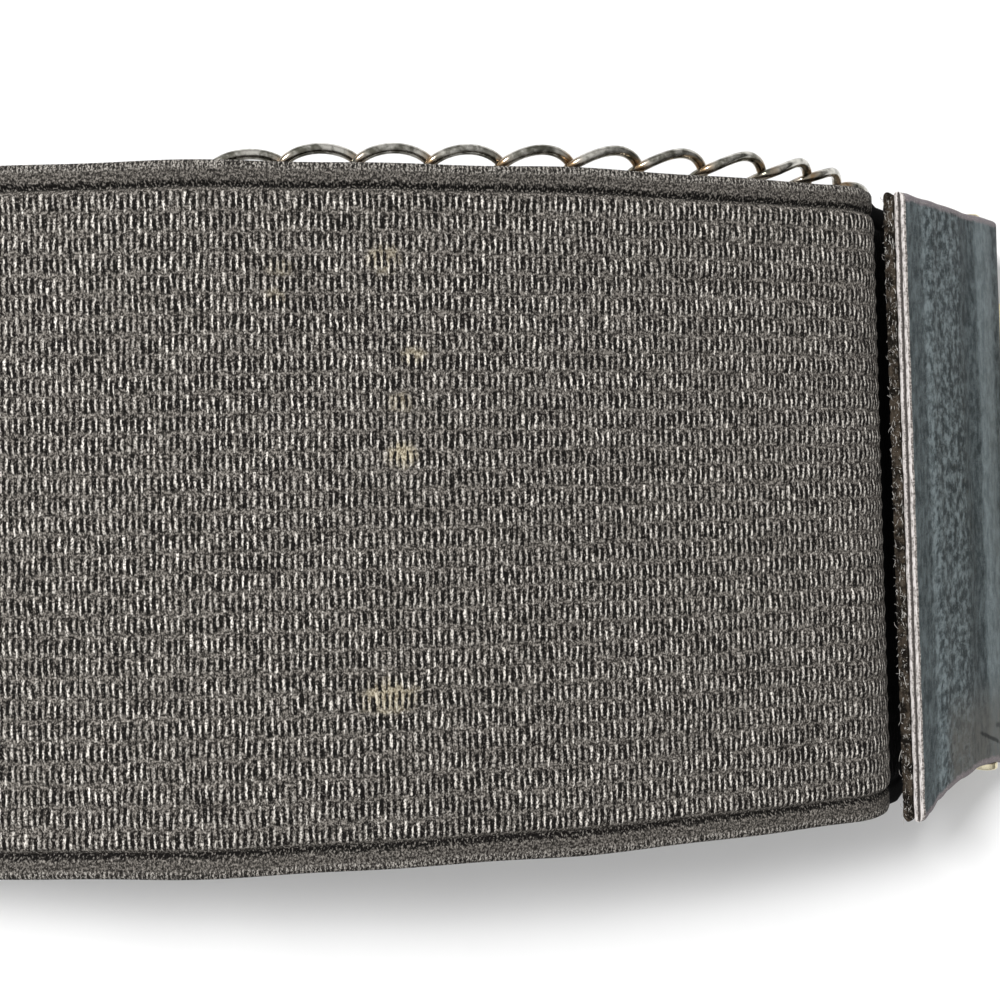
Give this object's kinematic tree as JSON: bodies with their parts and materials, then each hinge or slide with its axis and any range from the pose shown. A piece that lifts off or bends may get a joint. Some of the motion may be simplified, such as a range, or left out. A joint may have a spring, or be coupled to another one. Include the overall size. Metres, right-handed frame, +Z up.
{
  "type": "chain belt",
  "caption": "Wide woven elastic waist belt with folded leather tabs, a two-part plate clasp and a curb chain along its outer face, lying open with its inner face up.",
  "frame": {"origin": "centre of the footprint, on the surface that the belt lies on", "axes": "+X along the belt towards the hook end, +Y across the belt towards its chain edge, +Z up, out of the belt's inner face"},
  "size_m": [0.5994, 0.0814, 0.0451],
  "materials": {
    "elastic_webbing": "ribbed woven elastic, charcoal with a light sheen on each strand",
    "grain_leather": "worn dark slate grain leather with pale cut edges",
    "flesh_split": "dark brown fuzzy flesh side",
    "clasp_metal": "pale gold plate, softly polished",
    "chain_metal": "bright plated wire, golden brown in the crossings"
  },
  "bodies": {
    "root": {"elastic_band": "elastic_webbing", "left_tab_wrap": "grain_leather", "right_tab_wrap": "grain_leather", "left_tab_split": "flesh_split", "right_tab_split": "flesh_split", "left_clasp_eye": "clasp_metal", "right_clasp_hook": "clasp_metal", "left_chain_stud": "clasp_metal", "right_chain_stud": "clasp_metal", "curb_chain": "chain_metal"}
  },
  "joints": []
}
